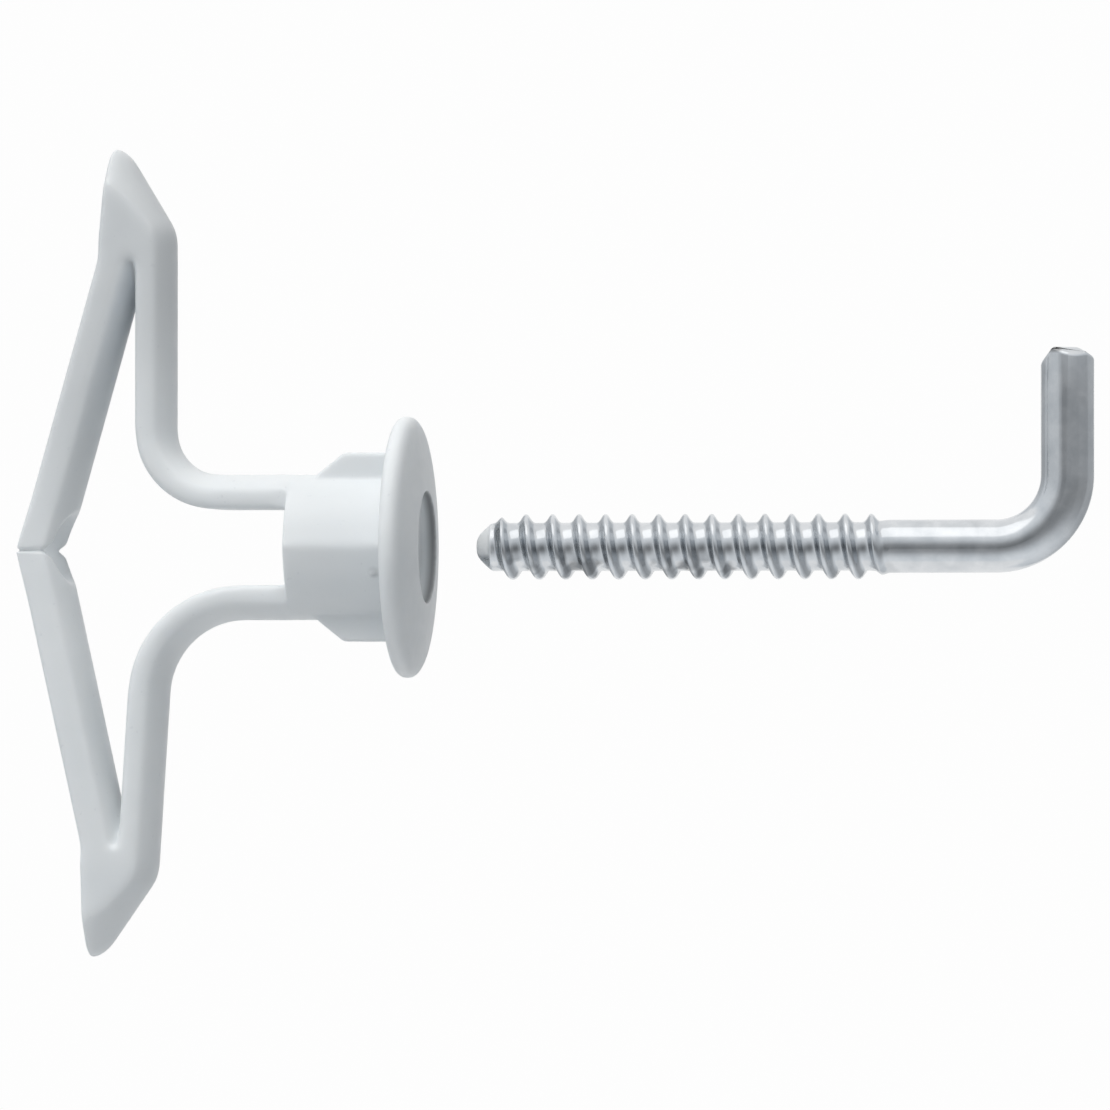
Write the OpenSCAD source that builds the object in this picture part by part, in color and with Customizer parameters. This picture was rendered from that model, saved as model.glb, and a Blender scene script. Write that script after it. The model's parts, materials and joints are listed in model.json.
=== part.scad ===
// Hollow wall anchor: a one-piece moulded plastic toggle plug, opened behind its wall,
// and its square-bend screw hook, drawn out in line with it.
// Frame: the origin is the centre of the flange's back face. +X leaves the wall towards the room, +Z is up.

/* [Flange and barrel] */
// Diameter of the domed flange
flange_d = 14.2; // [12:0.1:20]
// Thickness of the flange at its rim
flange_rim_t = 1; // [1:0.1:1.8]
// Height of the flange's dome above its rim
flange_dome_h = 0.75; // [0.5:0.05:1.5]
// Radius that rounds the front edge of the flange
flange_round = 0.45; // [0.1:0.05:0.45]
// Outer diameter of the barrel and of the folded pack, which is the hole drilled in the wall
barrel_d = 8; // [7.4:0.1:10]
// Length of the barrel behind the flange
barrel_l = 5.7; // [5:0.1:7]
// How far each fin stands out of the barrel
fin_h = 1.1; // [0.4:0.1:1.8]
// Thickness of each fin
fin_t = 2.6; // [1:0.1:4]
// Length of a fin's flat top, measured from the flange
fin_flat_l = 2.8; // [2.4:0.1:3.4]
// Length of a fin's sloping lead-in
fin_ramp_l = 1.9; // [0.5:0.1:2.2]
// Radial clearance between the screw thread and the holes that it passes through
bore_clearance = 0.05; // [0.02:0.01:0.1]
// Diameter of the recess at the mouth of the bore
mouth_d = 6; // [4.8:0.1:7]
// Depth of the recess at the mouth of the bore
mouth_depth = 1; // [0.4:0.1:1.3]

/* [Wings] */
// How much the folded wings lie inside the barrel's radius
wing_relief = 0.05; // [0.02:0.01:0.3]
// Width of the arms, legs and beaks
wing_w = 4.8; // [4.2:0.1:6]
// Thickness of an arm at its crown
arm_t = 1.9; // [1.2:0.05:2.2]
// Straight length of the upper arm between the barrel and its bend
upper_straight = 4.1; // [2:0.1:8]
// Radius of the upper arm's bend, on the wall's side
upper_bend_r = 2.4; // [1.5:0.1:5]
// Lean of the upper wing away from the wall
upper_splay = 0; // [-2:0.1:6]
// Straight length of the lower arm between the barrel and its bend
lower_straight = 2.7; // [2:0.1:8]
// Radius of the lower arm's bend, on the wall's side
lower_bend_r = 4.2; // [1.5:0.1:5]
// Lean of the lower wing away from the wall
lower_splay = 3.6; // [-2:0.1:6]
// Thickness of a leg at its crown
leg_t = 2.3; // [1.6:0.1:2.6]
// Length of a leg from its beak to the hinge
leg_l = 16.4; // [15:0.1:18]
// Length of a beak, from the root of its leg to its tip
beak_l = 6.2; // [5:0.1:9]
// Length of a beak that keeps the full radius before it tapers
beak_shoulder = 0.9; // [0.3:0.1:1.5]
// Radius that blends a beak's shoulder into its taper
beak_shoulder_r = 2; // [1:0.1:3]
// Radius of a beak's nose, seen from the side
beak_nose_r = 2; // [0.8:0.1:2.4]
// How far a beak's flat side is cut back at its tip
beak_relief = 0.5; // [0.1:0.05:0.8]

/* [Film hinge] */
// Distance of the hinge behind the wall face
hinge_back = 20.6; // [19.8:0.1:21.5]
// Drop of the hinge below the screw axis
hinge_drop = 0.15; // [0:0.05:0.6]
// Width of the crease between the ends of the legs, along both sides of the web that joins them
crease_w = 0.16; // [0.08:0.02:0.4]
// Depth of that crease
crease_depth = 0.25; // [0.05:0.05:0.6]
// Thickness of the web at the hinge, from its outer side to where the legs' ends begin to open
hinge_web = 1.3; // [0.9:0.1:1.8]
// Gap between the ends of the legs at the open side of the hinge
hinge_gap = 0.9; // [0.2:0.05:1.4]

/* [Screw hook] */
// Outer diameter of the screw thread
thread_d = 3.55; // [3:0.1:3.8]
// Root diameter of the screw thread
root_d = 2.6; // [2:0.1:2.8]
// Diameter of the hook's wire
wire_d = 2.85; // [2.4:0.05:3.2]
// Pitch of the screw thread
thread_pitch = 1.44; // [1:0.02:2]
// Number of turns of the thread
thread_turns = 15; // [8:1:16]
// Angle round the screw at which the thread starts
thread_clock = 186; // [0:1:359]
// Length of the cone at the hook's tip
tip_l = 0.9; // [0.4:0.1:2]
// Plain wire between the thread and the bend
shank_l = 5.6; // [3:0.1:12]
// Radius of the bend at the wire's centre line
hook_bend_r = 3.8; // [2.5:0.1:6]
// Length of the upturned arm, from the end of the bend to its top
hook_arm_l = 6.8; // [4:0.1:14]
// Bevel at the cut end of the upturned arm
hook_end_bevel = 0.5; // [0.1:0.05:0.8]
// Distance from the flange's back face to the drawn-out hook's tip
hook_tip_x = 4.3; // [2:0.1:20]

/* [Hidden] */
$fn = 72;
plastic_colour = [0.85, 0.87, 0.88];
steel_colour = [0.68, 0.71, 0.74];

// Anchor
barrel_r = barrel_d / 2;
bore_r = thread_d / 2 + bore_clearance;
flange_r = flange_d / 2;
flange_front = flange_rim_t + flange_dome_h;
dome_r = (flange_r * flange_r + flange_dome_h * flange_dome_h) / (2 * flange_dome_h);
fin_r = barrel_r + fin_h;
// The lead-in of a fin runs down to this far inside the point where its side meets the barrel
fin_sink = 0.2;
fin_foot = sqrt(barrel_r * barrel_r - fin_t * fin_t / 4) - fin_sink;
// Radius of the folded wings
pack_r = barrel_r - wing_relief;
arm_inner = pack_r - arm_t;
// The web is narrower than the legs by a crease on each side and runs a little way into each of them
web_w = wing_w - 2 * crease_depth;
web_l = 1;
// Depth of the web's outer side below the point where the legs' outer sides would meet
web_sink = 0.2;
// Length that the web runs past the tip of the notch, which trims it
web_lap = 0.2;
// A bend is drawn this much slimmer than the straight lengths that lap into it, so that no faces coincide
bend_inset = 0.01;
bend_lap = 0.05;
// Length of a leg that is buried in its beak, and of the beak's foot that is buried in the leg
leg_root_l = 1.5;
beak_foot_l = 0.1;
// Length that a leg runs past the hinge before it is trimmed there
leg_trim_l = leg_t;
hinge_x = -hinge_back;
// Length that a cutter runs past the faces it cuts
cut_over = 1;

// Hook
wire_r = wire_d / 2;
root_r = root_d / 2;
tip_r = root_r * 0.4;
// The tip's cone stays just inside the flats of the thread's first ring
tip_base_r = root_r * 0.97;
thread_l = thread_turns * thread_pitch;
shank_x = hook_tip_x + tip_l + thread_l;
hook_bend_x = shank_x + shank_l;
hook_arm_x = hook_bend_x + hook_bend_r;

// Points of the thread's section in one pitch: how far along the pitch, and how far out from root to crest
thread_section = [[0.24, 0], [0.44, 1], [0.56, 1], [0.76, 0]];
thread_sides = 24;
// Length over which the thread grows and dies away, as a share of the pitch
thread_fade = 0.6;

// Turns +X geometry drawn along +Z
module along_x(x = 0) {
    translate([x, 0, 0]) rotate([0, 90, 0]) children();
}

// ---- Toggle anchor ----

// Half of the flange's section: radius across, distance from the wall up
module flange_section() {
    inner_r = flange_r - flange_round;
    intersection() {
        translate([0, flange_front - dome_r]) circle(r = dome_r, $fn = 360);
        union() {
            square([inner_r, flange_front]);
            translate([0, flange_round]) square([flange_r, flange_rim_t - 2 * flange_round]);
            translate([inner_r, flange_round]) circle(r = flange_round);
            translate([inner_r, flange_rim_t - flange_round]) circle(r = flange_round);
        }
    }
}

module flange() {
    along_x() rotate_extrude() flange_section();
}

module barrel() {
    along_x(-barrel_l) cylinder(r = barrel_r, h = barrel_l);
}

// One anti-rotation fin, drawn above the barrel
module fin() {
    profile = [
        [0, 0],
        [0, fin_r],
        [-fin_flat_l, fin_r],
        [-fin_flat_l - fin_ramp_l, fin_foot],
        [-fin_flat_l - fin_ramp_l, 0],
    ];
    rotate([90, 0, 0]) linear_extrude(fin_t, center = true) polygon(profile);
}

// Section of an arm: a flat inner side at arm_inner and a crown on the folded wings' radius
module arm_section(inset = 0) {
    intersection() {
        circle(r = pack_r - inset);
        translate([arm_inner + inset, inset - wing_w / 2]) square([arm_t, wing_w - 2 * inset]);
    }
}

// Section of a leg: a flat outer side at 0 and a crown of the same radius
module leg_section() {
    intersection() {
        translate([leg_t - pack_r, 0]) circle(r = pack_r);
        translate([0, -wing_w / 2]) square([leg_t, wing_w]);
    }
}

// Direction of the common tangent of the shoulder and nose circles of a beak
function beak_normal(shoulder, nose) =
    let (step = nose - shoulder, gap = beak_shoulder_r - beak_nose_r)
    atan2(step[1], step[0]) - acos(gap / norm(step));

// Half of the section that an arm and its beak are turned from: radius across,
// distance from the leg's root up
module beak_section(arm_l) {
    shoulder = [pack_r - beak_shoulder_r, beak_shoulder];
    nose = [0, beak_l - beak_nose_r];
    normal = beak_normal(shoulder, nose);
    out = [cos(normal), sin(normal)];
    intersection() {
        translate([0, -arm_l]) square([pack_r, arm_l + beak_l]);
        union() {
            polygon([
                [0, -arm_l],
                [pack_r, -arm_l],
                [pack_r, shoulder[1]],
                shoulder,
                shoulder + beak_shoulder_r * out,
                nose + beak_nose_r * out,
                nose,
            ]);
            translate(shoulder) circle(r = beak_shoulder_r);
            translate(nose) circle(r = beak_nose_r);
        }
    }
}

// The straight arm behind the wall and its beak, with the leg's root at z = 0
// and the beak's flat side at x = 0
module arm_and_beak(arm_l) {
    // Seen from the side: the flat sides, carried on to twice the beak's length so that only they cut it
    side = [
        [0, -beak_foot_l],
        [arm_inner, -beak_foot_l],
        [arm_inner, -arm_l],
        [2 * pack_r, -arm_l],
        [2 * pack_r, 2 * beak_l],
        [2 * beak_relief, 2 * beak_l - beak_shoulder],
        [0, beak_shoulder],
    ];
    intersection() {
        rotate_extrude() beak_section(arm_l);
        rotate([90, 0, 0]) linear_extrude(wing_w, center = true) polygon(side);
    }
}

// A wing drawn upwards: arm, bend, beak and leg. hinge_z is the hinge's height in that drawing.
module wing(straight, bend_r, splay, hinge_z) {
    centre = [-barrel_l - straight, pack_r + bend_r];
    across = [cos(splay), sin(splay)];
    along = [-sin(splay), cos(splay)];
    foot = centre - (bend_r + pack_r) * across;
    hinge = [hinge_x, hinge_z];
    // Distance along the wing at which a leg of length leg_l reaches the hinge
    to_foot = foot - hinge;
    lead = to_foot * along;
    root_u = -lead + sqrt(leg_l * leg_l - to_foot * to_foot + lead * lead);
    root = foot + root_u * along;
    lean = atan2(root[0] - hinge[0], root[1] - hinge[1]);

    translate([-barrel_l, 0, 0]) rotate([0, -90, 0]) linear_extrude(straight + bend_lap) arm_section();
    translate([centre[0], 0, centre[1]]) rotate([-90, 90, 0]) rotate_extrude(angle = 90 - splay)
        translate([bend_r + pack_r, 0]) mirror([1, 0]) arm_section(bend_inset);
    translate([foot[0], 0, foot[1]]) rotate([0, -splay, 0]) translate([0, 0, root_u])
        arm_and_beak(root_u + bend_lap);
    intersection() {
        translate([hinge_x, 0, hinge_z]) rotate([0, lean, 0]) translate([0, 0, -leg_trim_l])
            linear_extrude(leg_trim_l + leg_l + leg_root_l) leg_section();
        translate([hinge_x - leg_t, -wing_w, hinge_z + crease_w / 2]) cube([leg_l, 2 * wing_w, 2 * leg_l]);
    }
}

// Web that joins the ends of the two legs on their outer side, where the plastic bends
module bending_web() {
    web_reach = hinge_web - web_sink + web_lap;
    translate([hinge_x + web_sink, -web_w / 2, -hinge_drop - web_l / 2]) cube([web_reach, web_w, web_l]);
}

// Wedge that bevels the ends of the legs on their inner side. It is hinge_gap wide where it leaves them.
module hinge_notch() {
    open_x = leg_t - hinge_web;
    notch = [[0, 0], [2 * open_x, hinge_gap], [2 * open_x, -hinge_gap]];
    translate([hinge_x + hinge_web, 0, -hinge_drop]) rotate([90, 0, 0])
        linear_extrude(2 * wing_w, center = true) polygon(notch);
}

module toggle_anchor() {
    color(plastic_colour) difference() {
        union() {
            flange();
            barrel();
            fin();
            mirror([0, 0, 1]) fin();
            wing(upper_straight, upper_bend_r, upper_splay, -hinge_drop);
            mirror([0, 0, 1]) wing(lower_straight, lower_bend_r, lower_splay, hinge_drop);
            bending_web();
        }
        along_x(hinge_x - cut_over) cylinder(r = bore_r, h = hinge_back + flange_front + 2 * cut_over);
        along_x(flange_front - mouth_depth) cylinder(d = mouth_d, h = mouth_depth + cut_over);
        hinge_notch();
    }
}

// ---- Hook screw ----

function clamp(v, low, high) = max(low, min(high, v));

// Distance of row j along the thread at side i
function thread_x(i, j) =
    let (k = len(thread_section), turn = floor(j / k), point = j - k * turn)
    clamp((turn + thread_section[point][0] + i / thread_sides) * thread_pitch, 0, thread_l);

// How far the thread has grown at distance x, from 0 to 1
function thread_growth(x) =
    clamp(min(x, thread_l - x) / (thread_fade * thread_pitch), 0, 1);

function thread_r(x, j) =
    let (k = len(thread_section), out = thread_section[j - k * floor(j / k)][1])
    root_r + out * thread_growth(x) * (thread_d - root_d) / 2;

// Rows that lie before the start of the thread, so that its helical grid covers both ends
thread_lead = 2 * len(thread_section);

// Index of a point: rows that are cut off at an end share that end's ring
function thread_point(i, j) =
    i >= thread_sides ? thread_point(i - thread_sides, j + len(thread_section))
    : let (x = thread_x(i, j))
    x <= 0 ? i
    : x >= thread_l ? thread_sides + i
    : (2 + thread_lead + j) * thread_sides + i;

// The threaded length, a right-hand helical grid between two flat ends
module thread() {
    last = thread_turns * len(thread_section);
    ends = [
        for (x = [0, thread_l], i = [0:thread_sides - 1])
            let (a = 360 * i / thread_sides) [x, root_r * cos(a), root_r * sin(a)],
    ];
    grid = [
        for (j = [-thread_lead:last + len(thread_section)], i = [0:thread_sides - 1])
            let (a = 360 * i / thread_sides, x = thread_x(i, j), r = thread_r(x, j))
            [x, r * cos(a), r * sin(a)],
    ];
    sides = [
        for (j = [-thread_lead:last - 1], i = [0:thread_sides - 1])
            let (
                p = thread_point(i, j),
                q = thread_point(i + 1, j),
                r = thread_point(i + 1, j + 1),
                s = thread_point(i, j + 1)
            )
            each [
                if (p != q && q != r && r != p) [p, r, q],
                if (p != r && r != s && s != p) [p, s, r],
            ],
    ];
    caps = [
        [for (i = [0:thread_sides - 1]) i],
        [for (i = [thread_sides - 1:-1:0]) thread_sides + i],
    ];
    polyhedron(concat(ends, grid), concat(sides, caps), convexity = 10);
}

module hook_screw() {
    color(steel_colour) {
        along_x(hook_tip_x) cylinder(r1 = tip_r, r2 = tip_base_r, h = tip_l);
        translate([hook_tip_x + tip_l, 0, 0]) rotate([thread_clock, 0, 0]) thread();
        along_x(shank_x) cylinder(r = wire_r, h = shank_l);
        translate([hook_bend_x, 0, hook_bend_r]) rotate([90, 90, 0]) rotate_extrude(angle = 90)
            translate([hook_bend_r, 0]) circle(r = wire_r);
        translate([hook_arm_x, 0, hook_bend_r]) {
            cylinder(r = wire_r, h = hook_arm_l - hook_end_bevel);
            translate([0, 0, hook_arm_l - hook_end_bevel])
                cylinder(r1 = wire_r, r2 = wire_r - hook_end_bevel, h = hook_end_bevel);
        }
    }
}

toggle_anchor();
hook_screw();
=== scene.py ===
# %% [markdown]
# # A hollow wall anchor and its screw hook
#
# The object is a toggle plug for thin walls: one piece of moulded plastic that has been opened into two
# wings, and a bright screw hook drawn out in line with it. The solids that fix its size come from a frame,
# which this lesson loads first and never changes. What the lesson adds is the finish: soft moulded edges, a
# rolled thread, plastic that has a little depth, and plated wire that mirrors its surroundings.

# %% Load the frame
import json
import math

import bmesh
import bpy
from mathutils import Matrix, Vector


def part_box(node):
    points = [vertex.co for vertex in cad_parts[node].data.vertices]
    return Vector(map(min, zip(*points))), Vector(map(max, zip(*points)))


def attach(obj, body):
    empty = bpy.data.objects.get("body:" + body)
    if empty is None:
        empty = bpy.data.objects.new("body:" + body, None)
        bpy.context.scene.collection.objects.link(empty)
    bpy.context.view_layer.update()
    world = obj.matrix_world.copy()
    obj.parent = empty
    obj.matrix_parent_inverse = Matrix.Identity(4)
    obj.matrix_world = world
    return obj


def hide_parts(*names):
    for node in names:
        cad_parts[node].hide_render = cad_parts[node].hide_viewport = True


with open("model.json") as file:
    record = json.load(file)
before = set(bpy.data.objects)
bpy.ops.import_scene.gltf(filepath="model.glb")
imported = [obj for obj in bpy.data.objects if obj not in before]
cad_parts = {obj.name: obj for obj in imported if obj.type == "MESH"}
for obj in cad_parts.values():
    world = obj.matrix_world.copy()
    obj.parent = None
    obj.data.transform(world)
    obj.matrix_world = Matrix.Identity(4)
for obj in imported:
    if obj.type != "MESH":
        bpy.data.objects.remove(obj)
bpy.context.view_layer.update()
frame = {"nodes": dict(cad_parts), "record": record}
MM = 0.001
print("nodes in the frame:", sorted(frame["nodes"]))

# %% [markdown]
# ## Sizes
#
# Every place comes from the frame. The origin is the middle of the flange's back face, +X leaves the wall
# along the screw and +Z points up the hook's arm. The record of the part names the round post that
# something hangs on, so its radius is the radius of the wire, and its place is the axis of the upturned
# arm.

# %% Read the sizes
anchor_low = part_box("toggle_anchor")[0]
hook_low, hook_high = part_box("hook_screw")
post = next(mount for mount in frame["record"]["mounts"] if mount["name"] == "hook_post")
WIRE_R = post["dims"]["r_mm"] * MM
ARM_X = post["pos_m"][0]
BEND_R = post["pos_m"][2]
TIP_X = hook_low.x
ARM_TOP = hook_high.z
THREAD_R = hook_high.y
print("wire radius %.3f mm, thread radius %.3f mm" % (WIRE_R / MM, THREAD_R / MM))
print("screw tip at %.1f mm, arm axis at %.1f mm" % (TIP_X / MM, ARM_X / MM))

# %% [markdown]
# ## Camera
#
# A small object is best drawn with a long lens from some way off, so that its two ends keep their
# proportions. The camera stands a few degrees round towards the hook and a little below the screw's axis.
# It is built from three directions (right, up and back) and looks at a point given in its own right and up
# directions.

# %% Camera
CAMERA_AZIMUTH = math.radians(8.5)
CAMERA_ELEVATION = math.radians(-0.7)
CAMERA_DISTANCE = 450 * MM
CAMERA_RIGHT = 8.45 * MM
CAMERA_UP = -0.42 * MM
VIEW_WIDTH = 59.94 * MM
SENSOR_WIDTH = 36.0


def direction(azimuth, elevation):
    """Unit vector from the object: azimuth 0 is the front (-Y), positive towards +X."""
    level = math.cos(elevation)
    return Vector((math.sin(azimuth) * level, -math.cos(azimuth) * level, math.sin(elevation)))


def stand_off(thing, azimuth, elevation, distance, to_right=0, to_up=0):
    """Put a camera or a lamp at a distance, facing the origin, and shift it across its own view."""
    back = direction(azimuth, elevation)
    right = Vector((math.cos(azimuth), math.sin(azimuth), 0))
    up = back.cross(right)
    place = right * to_right + up * to_up + back * distance
    thing.matrix_world = Matrix.Translation(place) @ Matrix((right, up, back)).transposed().to_4x4()


lens = bpy.data.cameras.new("product_camera")
lens.sensor_width = SENSOR_WIDTH
lens.lens = SENSOR_WIDTH * CAMERA_DISTANCE / VIEW_WIDTH
lens.clip_start = 10 * MM
lens.clip_end = 20
camera = bpy.data.objects.new("product_camera", lens)
bpy.context.scene.collection.objects.link(camera)
stand_off(camera, CAMERA_AZIMUTH, CAMERA_ELEVATION, CAMERA_DISTANCE, CAMERA_RIGHT, CAMERA_UP)
bpy.context.scene.camera = camera
bpy.context.scene.view_settings.view_transform = "Standard"
print("lens %.0f mm at %.0f mm" % (lens.lens, CAMERA_DISTANCE / MM))

# %% [markdown]
# ## Stage
#
# A white set with large soft lamps overhead is the usual way to show hardware. The world is white to the
# camera and in reflections, and a plain grey to everything else, so that it fills the shadows without
# washing the object out. Bright metal needs something dark to mirror, or it looks like paper, and a maker
# of catalogue pictures stands grey card round it. The cards here can't be seen, only mirrored.

# %% World
FILL = 0.4
WHITE = (0.985, 0.985, 0.985, 1)


def add_node(tree, kind, **sockets):
    node = tree.nodes.new(kind)
    for name, value in sockets.items():
        node.inputs[name.replace("_", " ")].default_value = value
    return node


def combined(tree, operation, *values):
    """The result of a calculation with sockets or numbers."""
    joined = tree.nodes.new("ShaderNodeMath")
    joined.operation = operation
    for socket, value in zip(joined.inputs, values):
        if isinstance(value, bpy.types.NodeSocket):
            tree.links.new(value, socket)
        else:
            socket.default_value = value
    return joined.outputs[0]


def ray_kinds(tree):
    """Whether a ray reaches the camera, straight or through something clear, and whether it is mirrored."""
    paths = tree.nodes.new("ShaderNodeLightPath")
    seen = combined(tree, "MAXIMUM", paths.outputs["Is Camera Ray"], paths.outputs["Is Transmission Ray"])
    return seen, paths.outputs["Is Glossy Ray"]


def mix_shaders(tree, share, first, second):
    mix = tree.nodes.new("ShaderNodeMixShader")
    for number, socket in enumerate((share, first.outputs[0], second.outputs[0])):
        tree.links.new(socket, mix.inputs[number])
    return mix


world = bpy.data.worlds.new("white_set")
bpy.context.scene.world = world
world.use_nodes = True
tree = world.node_tree
tree.nodes.clear()
fill = add_node(tree, "ShaderNodeBackground", Color=(0.95, 0.975, 1.0, 1), Strength=FILL)
white = add_node(tree, "ShaderNodeBackground", Color=WHITE, Strength=1)
seen, mirrored = ray_kinds(tree)
mix = mix_shaders(tree, combined(tree, "MAXIMUM", seen, mirrored), fill, white)
tree.links.new(mix.outputs[0], tree.nodes.new("ShaderNodeOutputWorld").inputs["Surface"])
print("world: fill", FILL)

# %% [markdown]
# The floor lies some way under the object. Close to the object it is a plain pale surface that takes a
# shadow, and further out it turns, for the camera, into the same white as the world, so the set has no
# horizon. It is left out of all reflections, so the wire mirrors the lowest part of the cards instead.

# %% Floor
FLOOR_Z = anchor_low.z - 25 * MM
FLOOR_R = 1500 * MM
SHADOW_R = 60 * MM
WHITE_R = 160 * MM


def new_material(name):
    material = bpy.data.materials.new(name)
    material.use_nodes = True
    material.node_tree.nodes.clear()
    return material, material.node_tree


def finish_material(tree, surface):
    out = tree.nodes.new("ShaderNodeOutputMaterial")
    tree.links.new(surface.outputs[0], out.inputs["Surface"])


def vector_math(tree, operation, vector, constant=(0, 0, 0)):
    """The outputs Vector and Value of a calculation with a vector socket and a constant."""
    node = tree.nodes.new("ShaderNodeVectorMath")
    node.operation = operation
    node.inputs[1].default_value = constant
    tree.links.new(vector, node.inputs[0])
    return node.outputs


def spread(tree, value, low, high, to_low, to_high, kind="LINEAR"):
    """Map the range low..high of a value onto to_low..to_high, and hold it beyond both ends."""
    ramp = tree.nodes.new("ShaderNodeMapRange")
    ramp.interpolation_type = kind
    for name, number in zip(("From Min", "From Max", "To Min", "To Max"), (low, high, to_low, to_high)):
        ramp.inputs[name].default_value = number
    tree.links.new(value, ramp.inputs["Value"])
    return ramp.outputs["Result"]


def place_mesh(name, shape, material):
    """Turn a bmesh into a smooth object at the origin that wears one material."""
    mesh = bpy.data.meshes.new(name)
    shape.to_mesh(mesh)
    shape.free()
    for face in mesh.polygons:
        face.use_smooth = True
    mesh.materials.append(material)
    thing = bpy.data.objects.new(name, mesh)
    bpy.context.scene.collection.objects.link(thing)
    return thing


paper, tree = new_material("white_paper")
matt = add_node(tree, "ShaderNodeBsdfDiffuse", Color=(0.62, 0.63, 0.64, 1))
glow = add_node(tree, "ShaderNodeEmission", Color=WHITE, Strength=1)
where = tree.nodes.new("ShaderNodeTexCoord")
distance = vector_math(tree, "LENGTH", where.outputs["Object"])["Value"]
far = spread(tree, distance, SHADOW_R, WHITE_R, 0, 1, "SMOOTHSTEP")
seen_far = combined(tree, "MULTIPLY", ray_kinds(tree)[0], far)
finish_material(tree, mix_shaders(tree, seen_far, matt, glow))

shape = bmesh.new()
bmesh.ops.create_circle(shape, cap_ends=True, segments=96, radius=FLOOR_R)
bmesh.ops.translate(shape, vec=(0, 0, FLOOR_Z), verts=shape.verts)
floor = place_mesh("studio_floor", shape, paper)
floor.visible_glossy = False
print("floor at %.1f mm" % (FLOOR_Z / MM))

# %% [markdown]
# The cards stand round the object like the panels of a dome. Each panel is an arc spun about the vertical
# axis. It is darkest just below the level of the object and fades to nearly white above and below, so that
# a round wire shows a soft dark line between two pale ones. The front panel, where the camera looks in, is
# the darkest. The panels on the right are left out of the diffuse light, so that the sides turned to them
# stay in shade.

# %% Cards
CARD_R = 300 * MM
CARD_LOW = math.radians(-70)
CARD_HIGH = math.radians(41)
DARK_LEVEL = math.sin(math.radians(-8))
LIGHT_AWAY = 0.8
ARC_STEPS = 12
SPIN_STEPS = 16
MIRROR_ONLY_FROM = 5


def split_xyz(tree, vector):
    split = tree.nodes.new("ShaderNodeSeparateXYZ")
    tree.links.new(vector, split.inputs[0])
    return split.outputs


def studio_card(name, start, end, dark, light):
    """A panel from azimuth start to end in degrees, dark along its dark level and light far from it."""
    material, tree = new_material(name + "_grey")
    where = tree.nodes.new("ShaderNodeTexCoord")
    level = split_xyz(tree, vector_math(tree, "NORMALIZE", where.outputs["Object"])["Vector"])["Z"]
    away = combined(tree, "ABSOLUTE", combined(tree, "SUBTRACT", level, DARK_LEVEL))
    glow = add_node(tree, "ShaderNodeEmission", Color=(0.94, 0.97, 1.0, 1))
    strength = spread(tree, away, 0, LIGHT_AWAY, dark, light, "SMOOTHSTEP")
    tree.links.new(strength, glow.inputs["Strength"])
    finish_material(tree, glow)
    shape = bmesh.new()
    arc = [CARD_LOW + (CARD_HIGH - CARD_LOW) * step / ARC_STEPS for step in range(ARC_STEPS + 1)]
    row = [shape.verts.new(direction(math.radians(start), angle) * CARD_R) for angle in arc]
    edges = [shape.edges.new(pair) for pair in zip(row, row[1:])]
    bmesh.ops.spin(shape, geom=row + edges, cent=(0, 0, 0), axis=(0, 0, 1),
                   angle=math.radians(end - start), steps=SPIN_STEPS)
    card = place_mesh(name, shape, material)
    card.visible_camera = False
    card.visible_diffuse = start < MIRROR_ONLY_FROM


for name, start, end, dark, light in [
    ("card_far_left", -160, -112, 0.46, 0.75),
    ("card_left", -112, -26, 0.64, 0.9),
    ("card_step", -26, -14, 0.42, 0.9),
    ("card_front", -14, 5, 0.21, 0.9),
    ("card_front_right", 5, 60, 0.29, 0.95),
    ("card_right", 60, 100, 0.33, 0.9),
    ("card_far_right", 100, 160, 0.45, 0.85),
]:
    studio_card(name, start, end, dark, light)

# %% [markdown]
# ## Lamps
#
# Two lamps hang almost in one place, overhead and a little to the left. The strong one lights the object
# and can't be mirrored. The weak one is there to be mirrored: it gives the wire its broad white band
# without burning it out. A third lamp, low on the left, lifts the sides that face it. All three are large
# and close, so their light is soft.

# %% Lamps
LAMP_DISTANCE = 350 * MM


def soft_lamp(name, azimuth, elevation, width, height, power, colour, mirrored):
    lamp = bpy.data.lights.new(name, "AREA")
    lamp.shape = "RECTANGLE"
    lamp.size = width * MM
    lamp.size_y = height * MM
    lamp.energy = power
    lamp.color = colour
    thing = bpy.data.objects.new(name, lamp)
    bpy.context.scene.collection.objects.link(thing)
    stand_off(thing, math.radians(azimuth), math.radians(elevation), LAMP_DISTANCE)
    thing.visible_glossy = mirrored


for name, azimuth, elevation, width, height, power, colour, mirrored in [
    ("front_softbox", -20, 62, 340, 300, 0.14, (1, 0.995, 0.985), True),
    ("overhead_softbox", -20, 66, 250, 250, 0.85, (1, 0.98, 0.955), False),
    ("left_softbox", -90, 10, 250, 250, 0.5, (0.97, 0.985, 1), False),
]:
    soft_lamp(name, azimuth, elevation, width, height, power, colour, mirrored)

# %% [markdown]
# ## Off-white plastic
#
# The plug is moulded from a nylon or polyethylene that lets a little light in. Its skin has the faint haze
# of a worn mould: slow changes of tone where the melt flowed, a fine texture, and a gloss that is not quite
# even. A subsurface share softens the shading as real plastic does. All patterns read Object coordinates,
# which on these pieces are metres, so a noise scale of 1000 has features about a millimetre across.

# %% Material helpers


def object_point(tree, stretch=(1, 1, 1)):
    """Object coordinates, scaled so that a pattern can be drawn out along one direction."""
    where = tree.nodes.new("ShaderNodeTexCoord")
    mapping = add_node(tree, "ShaderNodeMapping", Scale=stretch)
    tree.links.new(where.outputs["Object"], mapping.inputs["Vector"])
    return mapping.outputs["Vector"]


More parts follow.
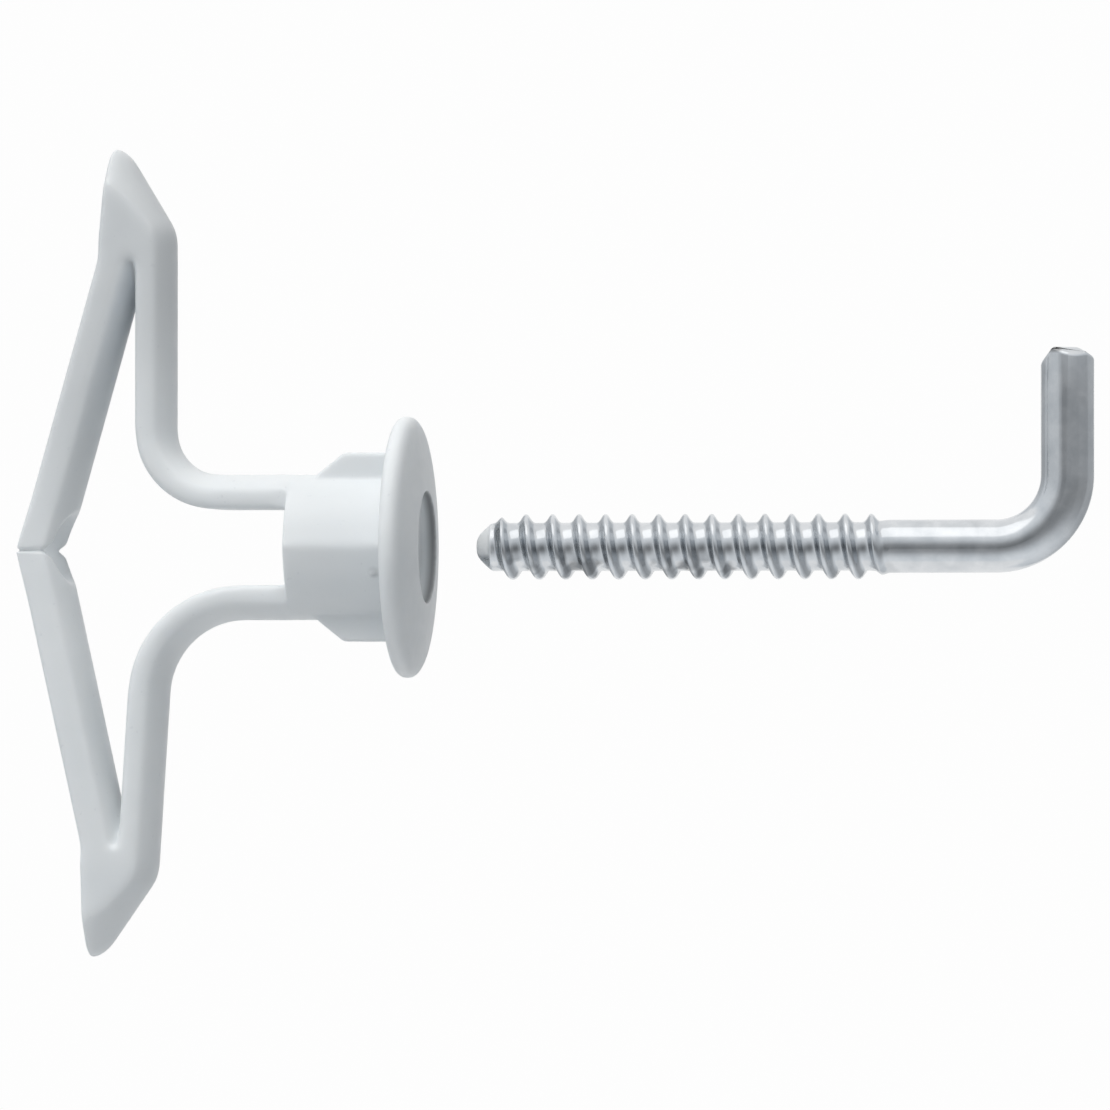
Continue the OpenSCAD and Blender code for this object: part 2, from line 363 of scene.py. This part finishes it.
def noise(tree, point, scale, detail, roughness=0.5):
    pattern = add_node(tree, "ShaderNodeTexNoise", Scale=scale, Detail=detail, Roughness=roughness)
    tree.links.new(point, pattern.inputs["Vector"])
    return pattern.outputs["Fac"]


def blend_colours(tree, share, first, second):
    mix = tree.nodes.new("ShaderNodeMix")
    mix.data_type = "RGBA"
    for socket, colour in (("A", first), ("B", second)):
        target = next(item for item in mix.inputs if item.name == socket and item.type == "RGBA")
        if isinstance(colour, tuple):
            target.default_value = (*colour, 1)
        else:
            tree.links.new(colour, target)
    tree.links.new(share, mix.inputs["Factor"])
    return next(item for item in mix.outputs if item.type == "RGBA")


def product(tree, first, second):
    return combined(tree, "MULTIPLY", first, second)


def bumped(tree, height, strength, depth):
    bump = add_node(tree, "ShaderNodeBump", Strength=strength, Distance=depth)
    tree.links.new(height, bump.inputs["Height"])
    return bump.outputs["Normal"]


def about_axis(tree):
    """The place along the screw's axis, the height above it and the distance from it."""
    place = split_xyz(tree, object_point(tree))
    across = tree.nodes.new("ShaderNodeCombineXYZ")
    tree.links.new(place["Y"], across.inputs["Y"])
    tree.links.new(place["Z"], across.inputs["Z"])
    return place["X"], place["Z"], vector_math(tree, "LENGTH", across.outputs[0])["Value"]


print("helpers ready")

# %% Plastic
GATE = Vector((-0.76 * MM, -3.72 * MM, -1.47 * MM))

plastic, tree = new_material("off_white_plastic")
skin = add_node(tree, "ShaderNodeBsdfPrincipled", IOR=1.46, Subsurface_Weight=0.3,
                Subsurface_Radius=(1.0, 0.95, 0.9), Subsurface_Scale=1.2 * MM)
point = object_point(tree)
flow = spread(tree, noise(tree, object_point(tree, (0.5, 1, 1)), 260, 2), 0.3, 0.7, 0, 1)
tone = blend_colours(tree, flow, (0.725, 0.755, 0.772), (0.765, 0.79, 0.803))
fleck = spread(tree, noise(tree, point, 3200, 1), 0.72, 0.8, 0, 0.35)
tone = blend_colours(tree, fleck, tone, (0.60, 0.63, 0.66))
haze = noise(tree, point, 1500, 3)
tree.links.new(spread(tree, haze, 0.3, 0.7, 0.34, 0.5), skin.inputs["Roughness"])
tree.links.new(bumped(tree, haze, 0.25, 0.02 * MM), skin.inputs["Normal"])
print("plastic: gate at %.2f mm from the wall face" % (GATE.x / MM))

# %% [markdown]
# Some tones belong to a place. The wing that stands uppermost is painted greyer the further up and back
# it reaches, a painted shade. The leg's inner side in the narrow wedge between its arm and leg is painted
# lighter, painted light in place of the light that seeps through the thin plastic. The recess at the bore's
# mouth is painted dark, a painted shade, and the skin round the nub at the gate is darker. Each tone is a
# mask made of a few ranges, multiplied where they all have to hold. A range says where a tone begins and
# where it ends or is full.

# %% Tones of the plastic
WING_SHADE_REACH = (19 * MM, 25.5 * MM)
LEG_BACK = (-14.4 * MM, -14.0 * MM)
TURNED_TO_FLANGE = (0.1, 0.95)
WEDGE_LOW = (5 * MM, 13.5 * MM)
WEDGE_HIGH = (15.4 * MM, 16.8 * MM)
MOUTH_RIM = (1.0 * MM, 1.35 * MM)
MOUTH_R = (3.0 * MM, 3.08 * MM)
GATE_SPOT = (0.15 * MM, 0.45 * MM)

x, z, radius = about_axis(tree)
# Painted shade: the upper wing is painted greyer the further up and back it reaches.
painted_wing_shade = spread(tree, combined(tree, "SUBTRACT", z, x), *WING_SHADE_REACH, 0, 0.45)
tone = blend_colours(tree, painted_wing_shade, tone, (0.47, 0.49, 0.505))

# Painted light: the leg's inner side in the wedge is painted lighter, in place of light seeping through the
# thin plastic.
facing = split_xyz(tree, tree.nodes.new("ShaderNodeTexCoord").outputs["Normal"])["X"]
on_leg = product(tree, spread(tree, facing, *TURNED_TO_FLANGE, 0, 1), spread(tree, x, *LEG_BACK, 1, 0))
painted_light_in_wedge = product(tree, spread(tree, z, *WEDGE_LOW, 0, 0.65), spread(tree, z, *WEDGE_HIGH, 1, 0))
tone = blend_colours(tree, product(tree, on_leg, painted_light_in_wedge), tone, (0.83, 0.885, 0.93))

# Painted shade: the recess at the bore's mouth is painted dark.
painted_mouth_shade = product(tree, spread(tree, x, *MOUTH_RIM, 0, 1), spread(tree, radius, *MOUTH_R, 1, 0))
tone = blend_colours(tree, painted_mouth_shade, tone, (0.27, 0.28, 0.29))

at_gate = spread(tree, vector_math(tree, "DISTANCE", point, GATE)["Value"], *GATE_SPOT, 0.5, 0)
tone = blend_colours(tree, at_gate, tone, (0.30, 0.31, 0.32))
tree.links.new(tone, skin.inputs["Base Color"])
finish_material(tree, skin)
print("plastic:", len(tree.nodes), "nodes")

# %% [markdown]
# ## The moulding
#
# The frame's solid has knife-sharp edges where its shapes meet. A moulding has none, because the mould is
# cut with a round tool and the plastic shrinks a little. Bevelling that many crossing edges one by one
# would be fragile, so a copy of the solid is rebuilt as an even skin of tiny squares (a voxel remesh),
# relaxed until its edges are round, and thinned again where it is nearly flat.

# %% Helpers that finish a mesh


def solid_copy(node):
    """A bmesh of a node of the frame, with its loose triangles joined."""
    shape = bmesh.new()
    shape.from_mesh(frame["nodes"][node].data)
    bmesh.ops.remove_doubles(shape, verts=shape.verts, dist=1e-7)
    return shape


def apply_modifiers(thing):
    """Replace an object's mesh by what its modifiers make of it, and remove them."""
    bpy.context.view_layer.update()
    view = thing.evaluated_get(bpy.context.evaluated_depsgraph_get())
    made = bpy.data.meshes.new_from_object(view)
    thing.modifiers.clear()
    old = thing.data
    thing.data = made
    bpy.data.meshes.remove(old)


def rebuild(thing, voxel):
    """Replace a solid's faces by an even skin of squares."""
    skin = thing.modifiers.new("skin", "REMESH")
    skin.mode = "VOXEL"
    skin.voxel_size = voxel
    apply_modifiers(thing)


def relax(thing, rounds, weight=None):
    """Smooth every point rounds times, or only as far as weight(point) from 0 to 1 says."""
    ease = thing.modifiers.new("relax", "SMOOTH")
    ease.factor = 0.5
    ease.iterations = rounds
    if weight:
        group = thing.vertex_groups.new(name="relax")
        for vert in thing.data.vertices:
            group.add([vert.index], weight(vert.co), "REPLACE")
        ease.vertex_group = group.name
    apply_modifiers(thing)
    thing.vertex_groups.clear()


def thin_out(thing, keep):
    """Drop the points that a nearly flat skin doesn't need, and keep a share of the faces."""
    thin = thing.modifiers.new("thin", "DECIMATE")
    thin.ratio = keep
    apply_modifiers(thing)
    for face in thing.data.polygons:
        face.use_smooth = True


def eased(share):
    share = min(max(share, 0), 1)
    return share * share * (3 - 2 * share)


# %% Skin of the moulding
BARREL_R = 4.0 * MM
BARREL_L = 5.7 * MM
VOXEL = 0.08 * MM
HINGE_ROUNDS = 7
SOFT_ROUNDS = 14
WING_ROUNDS = 120
KEEP = 0.31

moulding = place_mesh("anchor_moulding", solid_copy("toggle_anchor"), plastic)
rebuild(moulding, VOXEL)
print("moulding:", len(moulding.data.polygons), "faces")

# %% [markdown]
# The barrel is moulded in two halves that meet level with its axis. Each half has a little draft, so that
# it lets go of its mould, and the two drafts leave a soft ridge along the barrel's sides. The skin is drawn
# in by up to a quarter of a millimetre on both sides of the parting line, which fades out towards the top
# and bottom. Only the outer sixth of the barrel's radius moves, so the bore stays round.

# %% Parting ridge
RIDGE_SLOPE = 1.4 * MM
RIDGE_FADE = 0.45
SKIN_SHARE = 6

for vert in moulding.data.vertices:
    radius = math.hypot(vert.co.y, vert.co.z)
    if -BARREL_L - VOXEL < vert.co.x < 0 and radius < BARREL_R + VOXEL:
        turn = abs(math.atan2(vert.co.z, abs(vert.co.y)))
        at_skin = eased(radius / BARREL_R * SKIN_SHARE - (SKIN_SHARE - 1))
        sink = RIDGE_SLOPE * turn * math.exp(-turn / RIDGE_FADE) * at_skin
        vert.co.y *= 1 - sink / radius
        vert.co.z *= 1 - sink / radius
print("parting ridge stands %.3f mm proud" % (RIDGE_SLOPE * RIDGE_FADE / math.e / MM))

# %% [markdown]
# All edges are relaxed a little. The wings, the barrel's flat sides and the flange's rim are relaxed a lot
# more, because the mould is worn there, and arms and legs look nearly round. The folds at the hinge are
# left crisp, because the plastic was moulded thin there to bend.

# %% Soft edges
HINGE_DROP = 0.15 * MM
HINGE = Vector((anchor_low.x, 0, -HINGE_DROP))
HINGE_CRISP = 0.5 * MM
HINGE_SOFT = 3.6 * MM
ROOT_FADE = 1.2 * MM
RIM_R = 5.2 * MM
RIM_FADE = 0.8 * MM
RIM_BACK = -0.1 * MM
SIDE_UP = 0.8 * BARREL_R
SIDE_FADE = 0.2 * BARREL_R
SIDE_FRONT = -0.4 * MM
SIDE_BACK = -0.95 * BARREL_L
SIDE_END_FADE = 0.5 * MM


def clear_of_hinge(point):
    reach = math.hypot(point.x - HINGE.x, point.z - HINGE.z)
    return eased((reach - HINGE_CRISP) / (HINGE_SOFT - HINGE_CRISP))


def wing_share(point):
    return eased((-BARREL_L - point.x) / ROOT_FADE) * clear_of_hinge(point)


def rim_share(point):
    return eased((math.hypot(point.y, point.z) - RIM_R) / RIM_FADE) if point.x > RIM_BACK else 0


def barrel_share(point):
    on_side = eased((SIDE_UP - abs(point.z)) / SIDE_FADE)
    behind_flange = eased((SIDE_FRONT - point.x) / SIDE_END_FADE)
    return on_side * behind_flange * eased((point.x - SIDE_BACK) / SIDE_END_FADE)


relax(moulding, HINGE_ROUNDS)
relax(moulding, SOFT_ROUNDS, clear_of_hinge)
relax(moulding, WING_ROUNDS, wing_share)
relax(moulding, WING_ROUNDS // 2, barrel_share)
relax(moulding, WING_ROUNDS // 2, rim_share)
print("relaxed: all", SOFT_ROUNDS, "rounds, wings", WING_ROUNDS)

# %% [markdown]
# The melt enters the mould at a gate, and where it is snapped off it leaves a small nub low on the barrel's
# front, next to the flange.

# %% Gate nub
NUB_L, NUB_W, NUB_H = 0.24 * MM, 0.14 * MM, 0.14 * MM
NUB_REACH = 3 * NUB_L
FRONT_Y = -0.8 * BARREL_R

for vert in moulding.data.vertices:
    offset = vert.co - GATE
    if vert.co.y < FRONT_Y and offset.x ** 2 + offset.z ** 2 < NUB_REACH ** 2:
        rise = NUB_H * math.exp(-(offset.x / NUB_L) ** 2 - (offset.z / NUB_W) ** 2)
        radius = math.hypot(vert.co.y, vert.co.z)
        vert.co.y *= 1 + rise / radius
        vert.co.z *= 1 + rise / radius
thin_out(moulding, KEEP)
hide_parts("toggle_anchor")
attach(moulding, "anchor")
print("moulding:", len(moulding.data.polygons), "faces")

# %% [markdown]
# ## Zinc-plated wire
#
# The hook is drawn steel wire with a bright zinc plating. Drawing leaves hair-fine lines along the wire and
# the plating adds a cool, slightly uneven shine. The streaks have to follow the bend, so the wire's mesh
# carries its own coordinates, the distance along it and the place round it, and the pattern reads those.

# %% Steel
ALONG = "along_wire"

steel, tree = new_material("bright_zinc_plating")
plating = add_node(tree, "ShaderNodeBsdfPrincipled")
wire_point = tree.nodes.new("ShaderNodeAttribute")
wire_point.attribute_name = ALONG
streak_space = add_node(tree, "ShaderNodeMapping", Scale=(0.06, 1, 1))
tree.links.new(wire_point.outputs["Vector"], streak_space.inputs["Vector"])
streaks = noise(tree, streak_space.outputs["Vector"], 2600, 3, 0.6)
tree.links.new(bumped(tree, streaks, 0.15, 0.006 * MM), plating.inputs["Normal"])
point = object_point(tree)
cloud = noise(tree, point, 900, 3)
tone = blend_colours(tree, spread(tree, cloud, 0.35, 0.65, 0, 1), (0.60, 0.625, 0.65), (0.70, 0.72, 0.74))
stain = spread(tree, noise(tree, point, 420, 2), 0.62, 0.72, 0, 0.35)
tone = blend_colours(tree, stain, tone, (0.42, 0.44, 0.46))
print("steel: streaks follow", ALONG)

# %% [markdown]
# The places hang on the thread's measures, so those come first. The thread's flanks are painted darker
# than its crests and its root, a painted shade, and low on the thread there are darker patches. The
# point's upper side is painted paler, a painted highlight, and is also rougher and no longer quite a metal
# to look at. The left side of the blade's cut at the upper end is painted dark, a painted shade.

# %% Tones of the steel
ROOT_R = 1.3 * MM
PITCH = 1.44 * MM
TURNS = 15
TIP_L = 0.9 * MM
THREAD_X = TIP_X + TIP_L
SHANK_X = THREAD_X + TURNS * PITCH
THREAD_END = (SHANK_X - 1.5 * MM, SHANK_X)
FLANK_LOW = (ROOT_R, 1.42 * MM)
FLANK_HIGH = (1.60 * MM, 1.72 * MM)
UNDERSIDE = (-0.9 * MM, -0.2 * MM)
POINT_BACK = (TIP_X + 0.7 * MM, TIP_X + 1.0 * MM)
POINT_UPPER = (-0.65 * MM, -0.35 * MM)
CUT_LEVEL = (ARM_TOP - 0.35 * MM, ARM_TOP - 0.2 * MM)
CUT_SIDE = (ARM_X - 0.35 * MM, ARM_X - 0.15 * MM)

x, z, radius = about_axis(tree)
on_thread = spread(tree, x, *THREAD_END, 1, 0)
# Painted shade: the thread's flanks are painted darker than its crests and its root.
flank = product(tree, spread(tree, radius, *FLANK_LOW, 0, 0.35), spread(tree, radius, *FLANK_HIGH, 1, 0))
tone = blend_colours(tree, product(tree, flank, on_thread), tone, (0.30, 0.32, 0.34))

# Patches of noise low on the thread are darker.
low_dark_patches = spread(tree, noise(tree, point, 620, 2), 0.56, 0.68, 0, 0.75)
low_dark_patches = product(tree, product(tree, low_dark_patches, on_thread), spread(tree, z, *UNDERSIDE, 1, 0))
tone = blend_colours(tree, low_dark_patches, tone, (0.16, 0.17, 0.18))

# Painted highlight: the point's upper side is painted paler; it is also made rougher and less of a metal.
on_point = product(tree, spread(tree, x, *POINT_BACK, 1, 0), spread(tree, z, *POINT_UPPER, 0, 1))
tone = blend_colours(tree, on_point, tone, (0.88, 0.9, 0.91))

# Painted shade: the left side of the arm's cropped top is painted dark.
cut = product(tree, spread(tree, z, *CUT_LEVEL, 0, 1), spread(tree, x, *CUT_SIDE, 0.8, 0))
tone = blend_colours(tree, cut, tone, (0.2, 0.2, 0.2))
tree.links.new(tone, plating.inputs["Base Color"])

rough = spread(tree, cloud, 0.3, 0.7, 0.14, 0.22)
rough = combined(tree, "ADD", rough, spread(tree, on_point, 0, 1, 0, 0.4))
tree.links.new(rough, plating.inputs["Roughness"])
tree.links.new(spread(tree, on_point, 0, 1, 1, 0.35), plating.inputs["Metallic"])
finish_material(tree, plating)
print("steel:", len(tree.nodes), "nodes")

# %% [markdown]
# ## The rolled thread
#
# A thread is one short profile carried round the wire while it moves along. The spin operator does both at
# once: its dvec moves the copies a little along the axis at each step, and neighbouring turns share their
# edges. The helix is made two turns too long, cut square at both ends, and then pressed down to the wire
# there, so that it starts and runs out gently.

# %% Thread profile
CLOCK = math.radians(186)
STEPS = 48
WELD = 0.002 * MM
# One pitch of the thread, from root to root: share of the pitch, share of the height
PROFILE = [(0, 0), (0.14, 0.0), (0.21, 0.06), (0.28, 0.26), (0.35, 0.6), (0.41, 0.88), (0.46, 0.985),
           (0.5, 1), (0.54, 0.985), (0.59, 0.88), (0.65, 0.6), (0.72, 0.26), (0.79, 0.06), (0.86, 0.0),
           (1, 0)]
print("thread from %.2f to %.2f mm" % (THREAD_X / MM, SHANK_X / MM))

# %% Spin the thread
hook = bmesh.new()
start_turn = Matrix.Rotation(CLOCK - math.pi / 2, 4, "X")
row = []
for share, height in PROFILE:
    point = Vector((THREAD_X + (share - 1) * PITCH, 0, ROOT_R + height * (THREAD_R - ROOT_R)))
    row.append(hook.verts.new(start_turn @ point))
edges = [hook.edges.new(pair) for pair in zip(row, row[1:])]
bmesh.ops.spin(hook, geom=row + edges, cent=(0, 0, 0), axis=(1, 0, 0), dvec=(PITCH / STEPS, 0, 0),
               angle=math.tau * (TURNS + 1), steps=STEPS * (TURNS + 1))
bmesh.ops.remove_doubles(hook, verts=hook.verts, dist=WELD)
for x, keep_above in ((THREAD_X, True), (SHANK_X, False)):
    bmesh.ops.bisect_plane(hook, geom=hook.verts[:] + hook.edges[:] + hook.faces[:], dist=1e-9,
                           plane_co=(x, 0, 0), plane_no=(1, 0, 0),
                           clear_inner=keep_above, clear_outer=not keep_above)
print("thread:", len(hook.faces), "faces,", sum(edge.is_boundary for edge in hook.edges), "open edges")

# %% [markdown]
# The two cuts leave ragged rings, because the ridge crosses them. Pressing every point towards the wire by
# how near it is to an end turns the rings into true circles, and the ridge into a thread that fades in over
# half a turn and runs out over a whole one. The wire itself is a little thicker than the thread's root,
# because rolling only pushes the metal about, so the root swells to meet it.

# %% Fade the ends
FADE_IN = 0.5 * PITCH
RUN_OUT = 0.9 * PITCH

for vert in hook.verts:
    radius = math.hypot(vert.co.y, vert.co.z)
    started = eased((vert.co.x - THREAD_X) / FADE_IN)
    going_on = eased((SHANK_X - vert.co.x) / RUN_OUT)
    height = (radius - ROOT_R) * started * going_on
    base = ROOT_R + (WIRE_R - ROOT_R) * (1 - going_on)
    scale = (base + max(height, 0)) / radius
    vert.co.y *= scale
    vert.co.z *= scale
print("fade in %.2f mm, run out %.2f mm" % (FADE_IN / MM, RUN_OUT / MM))

# %% [markdown]
# ## Point, shank, bend and arm
#
# From the two rings the rest of the wire is pulled out by extruding. The point steps down through a few
# rings, so that it is a short cone with a rounded shoulder and a blunt tip. The shank is extruded straight,
# spun round the bend, and extruded again up the arm.

# %% Pull the wire out of its rings
BEND_X = ARM_X - BEND_R
BEND_STEPS = 24
CROP_Z = ARM_TOP - 1.6 * WIRE_R
ON_RING = 0.01 * MM
SEAM = 0.0005 * MM
# Each ring of the point: share of its length still to go, share of the root's radius
POINT_RINGS = [(0.92, 0.985), (0.8, 0.93), (0.65, 0.84), (0.45, 0.71), (0.25, 0.57), (0.12, 0.45),
               (0.04, 0.32), (0, 0.16)]


def ring_at(shape, x):
    return [edge for edge in shape.edges if edge.is_boundary and abs(edge.verts[0].co.x - x) < ON_RING]


def once(items):
    """Each item once, in the order in which it first comes."""
    return list(dict.fromkeys(items))


def ring_points(ring):
    return once(vert for edge in ring for vert in edge.verts)


def extrude_ring(shape, ring, vec, scale=1.0, centre=(0, 0, 0)):
    """Extrude an open ring, move it by vec, and scale it about a centre. Returns the new ring."""
    new = bmesh.ops.extrude_edge_only(shape, edges=ring)["geom"]
    points = [item for item in new if isinstance(item, bmesh.types.BMVert)]
    bmesh.ops.translate(shape, vec=vec, verts=points)
    bmesh.ops.scale(shape, vec=(scale, scale, scale), verts=points,
                    space=Matrix.Translation(-Vector(centre)))
    return [item for item in new if isinstance(item, bmesh.types.BMEdge) and item.is_boundary]


ring = ring_at(hook, THREAD_X)
shoulder_x, shoulder_r = THREAD_X, ROOT_R
for share, radius_share in POINT_RINGS:
    x = TIP_X + share * TIP_L
    radius = radius_share * ROOT_R
    ring = extrude_ring(hook, ring, (x - shoulder_x, 0, 0), radius / shoulder_r, (x, 0, 0))
    for vert in ring_points(ring):
        vert.co.x = x
    shoulder_x, shoulder_r = x, radius
bmesh.ops.contextual_create(hook, geom=ring)

ring = extrude_ring(hook, ring_at(hook, SHANK_X), (BEND_X - SHANK_X, 0, 0))
bend = bmesh.ops.spin(hook, geom=ring_points(ring) + ring, cent=(BEND_X, 0, BEND_R), axis=(0, -1, 0),
                      angle=math.pi / 2, steps=BEND_STEPS)["geom_last"]
ring = [item for item in bend if isinstance(item, bmesh.types.BMEdge)]
ring = extrude_ring(hook, ring, (0, 0, CROP_Z - BEND_R))
ring = extrude_ring(hook, ring, (0, 0, ARM_TOP - CROP_Z))
bmesh.ops.contextual_create(hook, geom=ring)
bmesh.ops.remove_doubles(hook, verts=hook.verts, dist=SEAM)
print("wire:", len(hook.faces), "faces,", sum(edge.is_boundary for edge in hook.edges), "open edges")

# %% [markdown]
# The upper end was cropped from the coil with a pair of blades. They leave a slanting shoulder on three
# sides and a flat between them, all slightly rounded by the tumbling that comes before plating.

# %% Crop the upper end
# Each cut: a point on it, in wire radii from the middle of the arm's top, and the direction it faces
CROP_CUTS = [((-0.66, 0, -0.12), (-0.8, -0.1, 0.6)), ((0.6, 0, -0.13), (0.5, 0.05, 0.86)),
             ((0.3, -0.75, -0.14), (0.22, -0.5, 0.84))]
CROP_EDGE_Z = ARM_TOP - 1.2 * WIRE_R
CROP_EDGE_TURN = math.radians(25)
CROP_EDGE_R = 0.16 * MM


def slice_off(shape, point, normal, above):
    """Cut away what lies beyond a plane in the part of the shape above a height, and close the cut."""
    faces = [face for face in shape.faces if face.calc_center_median().z > above]
    edges = once(edge for face in faces for edge in face.edges)
    verts = once(vert for face in faces for vert in face.verts)
    cut = bmesh.ops.bisect_plane(shape, geom=verts + edges + faces, dist=1e-8, plane_co=point,
                                 plane_no=normal, clear_outer=True)["geom_cut"]
    rim = [item for item in cut if isinstance(item, bmesh.types.BMEdge)]
    bmesh.ops.contextual_create(shape, geom=rim)


arm_end = Vector((ARM_X, 0, ARM_TOP))
for offset, normal in CROP_CUTS:
    slice_off(hook, arm_end + Vector(offset) * WIRE_R, Vector(normal).normalized(), CROP_Z)
crop_edges = [edge for edge in hook.edges
              if min(vert.co.z for vert in edge.verts) > CROP_EDGE_Z and len(edge.link_faces) == 2
              and edge.calc_face_angle(0) > CROP_EDGE_TURN]
bmesh.ops.bevel(hook, geom=crop_edges, offset=CROP_EDGE_R, offset_type="OFFSET", affect="EDGES", segments=4,
                profile=0.5, material=-1, clamp_overlap=False)
bmesh.ops.recalc_face_normals(hook, faces=hook.faces)
print("cropped end:", len(crop_edges), "edges rounded")

# %% Wire coordinates and place


def along_wire(point):
    """Distance along the wire and the place round it, the way the drawn streaks run."""
    if point.x > BEND_X and point.z < BEND_R:
        turned = math.atan2(point.x - BEND_X, BEND_R - point.z)
        reach = math.hypot(point.x - BEND_X, BEND_R - point.z)
        return Vector((BEND_X + BEND_R * turned, point.y, BEND_R - reach))
    if point.z >= BEND_R and point.x > BEND_X:
        return Vector((BEND_X + BEND_R * math.pi / 2 + point.z - BEND_R, point.y, ARM_X - point.x))
    return point.copy()


layer = hook.verts.layers.float_vector.new(ALONG)
for vert in hook.verts:
    vert[layer] = along_wire(vert.co)
wire = place_mesh("threaded_hook", hook, steel)
wire.data.set_sharp_from_angle(angle=math.radians(50))
wire.modifiers.new("even", "WEIGHTED_NORMAL").keep_sharp = True
apply_modifiers(wire)
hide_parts("hook_screw")
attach(wire, "hook")
print("threaded hook:", len(wire.data.polygons), "faces")
